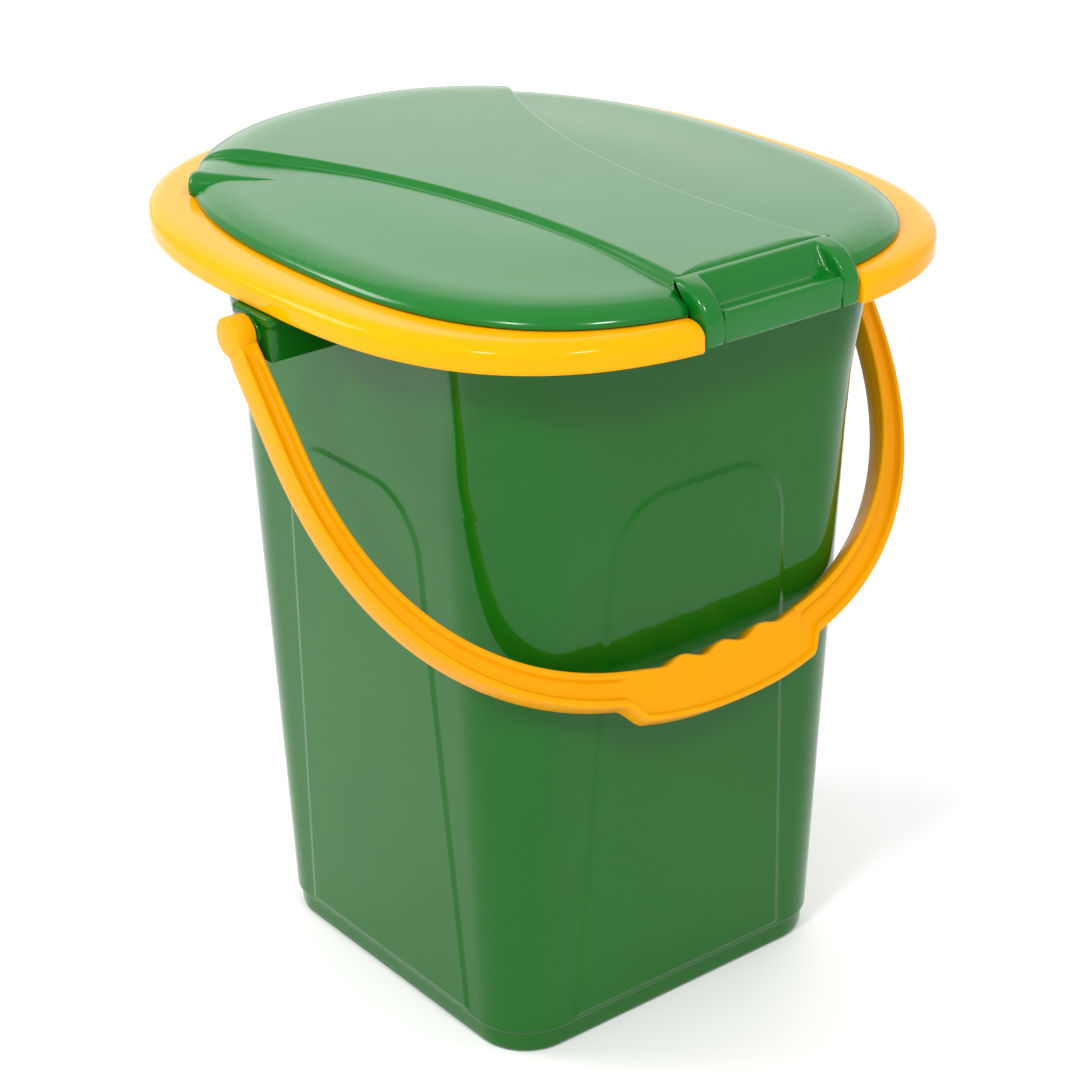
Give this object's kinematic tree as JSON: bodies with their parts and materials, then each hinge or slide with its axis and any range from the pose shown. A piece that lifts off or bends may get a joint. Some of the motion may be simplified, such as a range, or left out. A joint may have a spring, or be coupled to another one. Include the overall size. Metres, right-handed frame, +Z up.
{
  "type": "portable bucket toilet",
  "caption": "Square tapered plastic bucket with an oval seat ring, a hinged lid and a swinging bail handle with finger grooves.",
  "frame": {"origin": "centre of the bucket's flat foot, on the surface it stands on", "axes": "+Z up, +Y towards the lid's hinge, +X towards the right-hand handle bracket seen from the front"},
  "size_m": [0.363, 0.3725, 0.4126],
  "materials": {
    "green_plastic": "glossy moulded polypropylene",
    "green_lid_plastic": "glossy moulded polypropylene",
    "yellow_plastic": "glossy moulded polypropylene",
    "yellow_handle_plastic": "satin moulded polypropylene"
  },
  "bodies": {
    "bucket": {"bucket_body": "green_plastic"},
    "seat": {"seat_ring": "yellow_plastic"},
    "cover": {"lid": "green_lid_plastic"},
    "handle": {"bail_handle": "yellow_handle_plastic"}
  },
  "joints": [
    {"name": "seat_lift", "type": "slide", "parent": "bucket", "child": "seat", "axis": [0, 0, 1], "range_m": [0, 0.08]},
    {"name": "lid_hinge", "type": "hinge", "parent": "seat", "child": "cover", "pos_m": [0, 0.1655, 0.3896], "axis": [-1, 0, 0], "range_deg": [0, 100]},
    {"name": "handle_swing", "type": "hinge", "parent": "bucket", "child": "handle", "pos_m": [0, 0, 0.3746], "axis": [1, 0, 0], "range_deg": [0, 285]}
  ]
}
